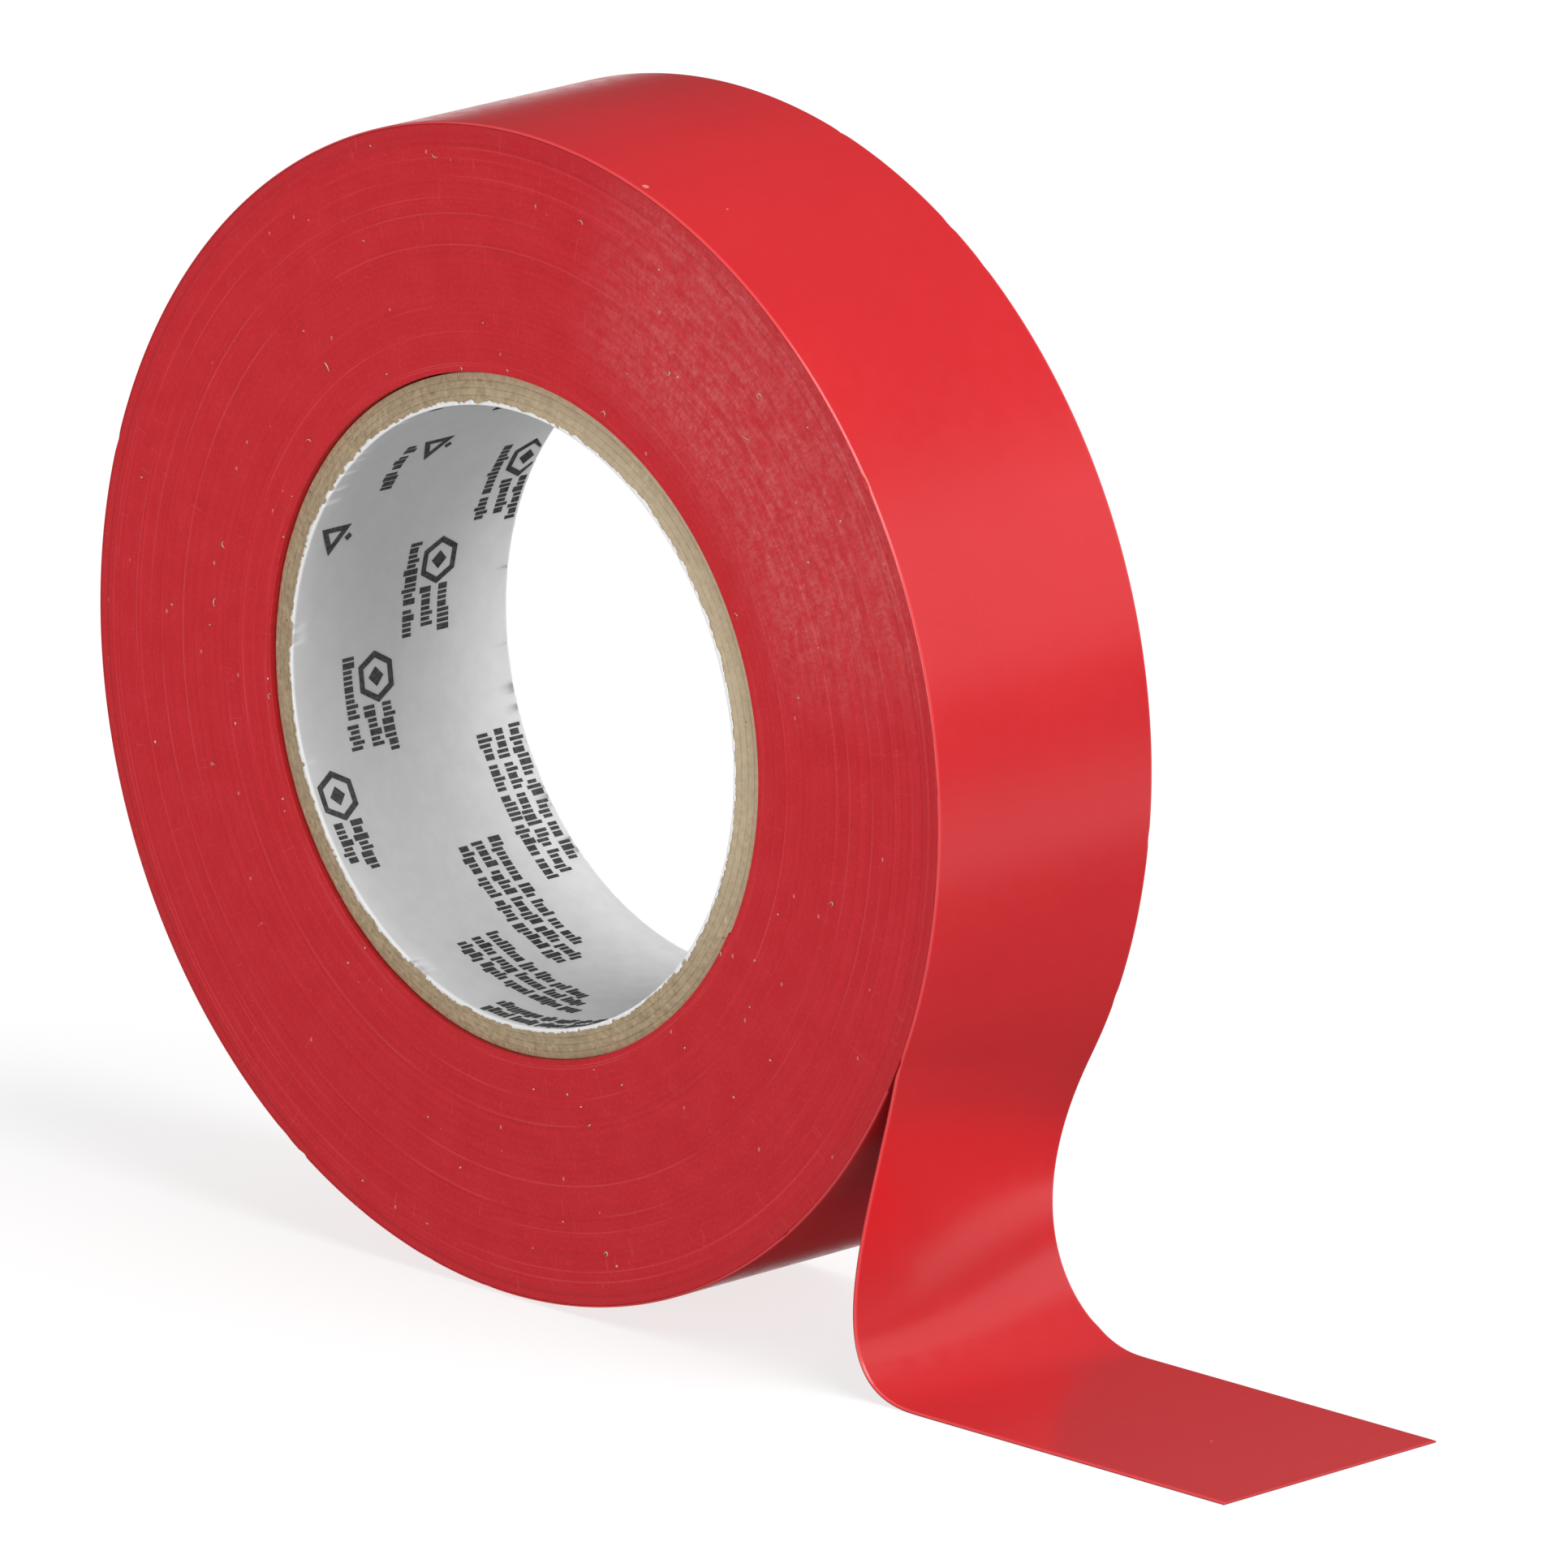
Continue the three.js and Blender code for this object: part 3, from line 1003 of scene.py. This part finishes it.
def liner_print(finish):
    """Generic print on the liner: three kinds of block, each repeated along a slanting line.

    A block has its angle and its place across the liner in the middle of its line. The whole print
    comes again half a turn round."""
    rng = np.random.default_rng(SEED + 2)
    marks = Print()

    def badge(arc, y):
        """A hexagon round a small square, with three lines of bars beside it."""
        marks.outline(arc, y, 1.70 * MM, 0.46 * MM, 6)
        marks.outline(arc, y, 0.65 * MM, 0.65 * MM, 4)
        marks.line(rng, arc + 1.75 * MM, y + 0.25 * MM, (8,))
        marks.line(rng, arc + 1.75 * MM, y - 1.20 * MM, (7,))
        marks.line(rng, arc - 1.65 * MM, y - 2.85 * MM, (11, 5))

    def paragraph(arc, y):
        """Three lines of bars."""
        for number, words in enumerate(((9, 3, 4, 3, 4), (5, 5, 6, 4, 5), (5, 5, 5, 6, 4))):
            marks.line(rng, arc + number * 0.1 * MM, y - number * 1.36 * MM, words)

    def small_mark(arc, y):
        """A triangle with a dot beside it, and a line of bars."""
        marks.outline(arc, y, 1.5 * MM, 0.8 * MM, 3)
        marks.outline(arc + 0.3 * MM, y + 1.4 * MM, 0.32 * MM, 0.32 * MM, 4)
        marks.line(rng, arc - 0.6 * MM, y - 2.7 * MM, (2, 3, 4))

    blocks = [(small_mark, 136.7, -2.1 * MM), (badge, 167.3, 3.05 * MM), (paragraph, 221.2, 2.95 * MM)]
    for half in (0, 180):
        for draw, angle, y in blocks:
            for place in range(-3, 4):
                arc = BORE_RADIUS * (math.radians(angle + half) + place * PRINT_STEP[0])
                draw(arc, y + place * PRINT_STEP[1])
    piece = new_object("paper_liner_print", marks.vertices, marks.faces, finish)
    piece.data.shade_flat()
    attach(piece, "roll")


def crumb_spot(rng, near_core):
    """Where a crumb lies on the near face: x and z."""
    outermost = 38
    close = CORE_RADIUS + (0.1 + rng.exponential(1.6)) * MM
    reach = min(close if near_core else rng.uniform(24, outermost) * MM, outermost * MM)
    x, _, z = around(reach, rng.uniform(0, math.tau), 0)
    return x, z


def crumb_points(rng, near_core, stringy):
    """A crumb's points: a bent ridge of five steps, three points wide, that tapers to both ends."""
    x, z = crumb_spot(rng, near_core)
    heading = rng.uniform(0, math.pi)
    long = rng.uniform(0.18, 0.36) * MM if stringy else rng.uniform(0.05, 0.12) * MM
    wide = rng.uniform(0.02, 0.04) * MM if stringy else rng.uniform(0.04, 0.08) * MM
    bend = rng.uniform(-1.6, 1.6)
    points = []
    for step in range(5):
        share = step / 2 - 1
        turned = heading + bend * share
        way = np.array([math.cos(turned), math.sin(turned)])
        edge = np.array([-way[1], way[0]]) * wide * (1 - 0.7 * share * share) * rng.uniform(0.7, 1.3)
        for offset, lift in ((edge, 0.01), (edge * 0.2, 0.08), (-edge, 0.01)):
            spot = way * long * share + offset
            points.append((x + spot[0], -HALF_WIDTH - lift * MM, z + spot[1]))
    return points


def crumbs(finish):
    """Loose paper fibres caught on the near face, some of them close to the core."""
    count = 64
    count_near_core = 22
    rng = np.random.default_rng(SEED + 3)
    vertices = []
    faces = []
    for number in range(count):
        first = len(vertices)
        vertices += crumb_points(rng, number < count_near_core, stringy=number % 4 == 0)
        for step in range(4):
            a, b = first + step * 3, first + step * 3 + 3
            for j in range(3):
                k = (j + 1) % 3
                faces.append((a + j, a + k, b + k, b + j))
        faces.append((first, first + 2, first + 1))
        faces.append((first + 12, first + 13, first + 14))
    piece = new_object("paper_fibre_crumbs", vertices, faces, finish)
    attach(piece, "roll")


# ---------------------------------------------------------------- stage, light and camera


def stage_floor():
    """A plain pale floor that reaches past the view on every side. It glows a little, so it is
    nearly white and the shadow on it is light."""
    size = 4.0
    sunk = 0.02 * MM
    corners = [(-size, -size, 0), (size, -size, 0), (size, size, 0), (-size, size, 0)]
    n = material("floor_white")
    color = n.mix(n.noise(n.place(), scale=3, detail=2), FLOOR_COLORS["dark"], FLOOR_COLORS["light"])
    finish = n.finish(color, 0.9, Specular_IOR_Level=0.0,
                      Emission_Color=(1, 1, 1, 1), Emission_Strength=FLOOR_GLOW)
    floor = new_object("floor", corners, [(0, 1, 2, 3)], finish)
    floor.location.z = -sunk
    floor.visible_glossy = False
    floor.visible_diffuse = False


def studio_world():
    """The studio around the object, which differs by what it is seen in.

    In glossy surfaces it is dim, with a bright panel low on the far right, a strip of lit table below
    it and a bright sweep at the far left below the horizon. Matt surfaces are lit softly from all
    round, most from below and from behind. The camera sees plain white."""
    world = bpy.data.worlds.new("studio")
    bpy.context.scene.world = world
    n = Nodes(world)
    x, y, z = n.split(n.add("ShaderNodeTexCoord").outputs["Generated"])
    right = n.ramp(x, -0.2, 0.25)
    far = n.ramp(y, -0.1, 0.3)
    panel = n.times(n.hump(z, 0.10, 0.42, 0.07, 0.20), PANEL)
    table = n.times(n.hump(z, -0.375, -0.31, 0.03, 0.22), TABLE)
    sweep = n.times(n.hump(z, -0.33, -0.12, 0.15, 0.16), n.ramp(x, 0.0, -0.4), SWEEP)
    lit = n.times(n.sum(n.times(n.sum(panel, table), right), sweep), far)
    under = n.times(n.ramp(x, 0.1, -0.3), n.ramp(z, -0.34, -0.46))
    ambient = n.times(n.ramp(y, 0.2, -0.2, BACK_LEVEL, FRONT_LEVEL),
                      n.math("SUBTRACT", 1, n.times(under, UNDER_CUT)))
    glossy = n.sum(lit, ambient)

    all_round = n.ramp(z, -0.05, 0.05, DIFFUSE_BELOW, DIFFUSE_ABOVE)
    behind = n.times(n.ramp(y, 0.0, 0.5), n.ramp(z, 0.0, 0.4), n.ramp(x, 0.2, -0.4, 0.8, 1.45))
    diffuse = n.sum(n.times(panel, right, far, DIFFUSE_PANEL), all_round, n.times(behind, DIFFUSE_BEHIND))

    paths = n.add("ShaderNodeLightPath").outputs
    is_diffuse = paths["Is Diffuse Ray"]
    level = n.sum(n.times(glossy, n.math("SUBTRACT", 1, is_diffuse)), n.times(diffuse, is_diffuse))
    level = n.math("MAXIMUM", level, paths["Is Camera Ray"])
    n.plug(n.tree.nodes["Background"].inputs["Color"], n.vector(level, level, level))


def soft_sun(name, settings):
    """A large soft light that shines evenly over the whole stage."""
    data = bpy.data.lights.new(name, "SUN")
    data.energy = settings["power"]
    data.angle = math.radians(settings["size"])
    light = bpy.data.objects.new(name, data)
    light.rotation_mode = "QUATERNION"
    light.rotation_quaternion = (-Vector(settings["from"])).to_track_quat("-Z", "Y")
    bpy.context.scene.collection.objects.link(light)


def photo_camera():
    """The camera of the reference view, with a long lens."""
    azimuth, elevation = math.radians(CAMERA["azimuth"]), math.radians(CAMERA["elevation"])
    data = bpy.data.cameras.new("camera")
    data.sensor_width = 36
    data.lens = CAMERA["lens"]
    data.clip_start, data.clip_end = 0.05, 20
    camera = bpy.data.objects.new("camera", data)
    x, y, above_axis = CAMERA["place"]
    camera.location = (x, y, AXIS_HEIGHT + above_axis)
    toward = Vector((-math.sin(azimuth) * math.cos(elevation),
                     math.cos(azimuth) * math.cos(elevation), -math.sin(elevation)))
    camera.rotation_mode = "QUATERNION"
    camera.rotation_quaternion = toward.to_track_quat("-Z", "Y")
    bpy.context.scene.collection.objects.link(camera)
    bpy.context.scene.camera = camera


# ---------------------------------------------------------------- the scene

photo_camera()
studio_world()
soft_sun("key", KEY)
soft_sun("fill", FILL)
stage_floor()

wound_turns(tape_side_material())
tape_strip(film_material(), adhesive_material())

board = chipboard_material()
for ply in range(1, PLY_COUNT + 1):
    core_ply(ply, board)
liner(paper_material())
liner_print(ink_material())
crumbs(crumb_material())

bpy.context.scene.view_settings.view_transform = "Standard"
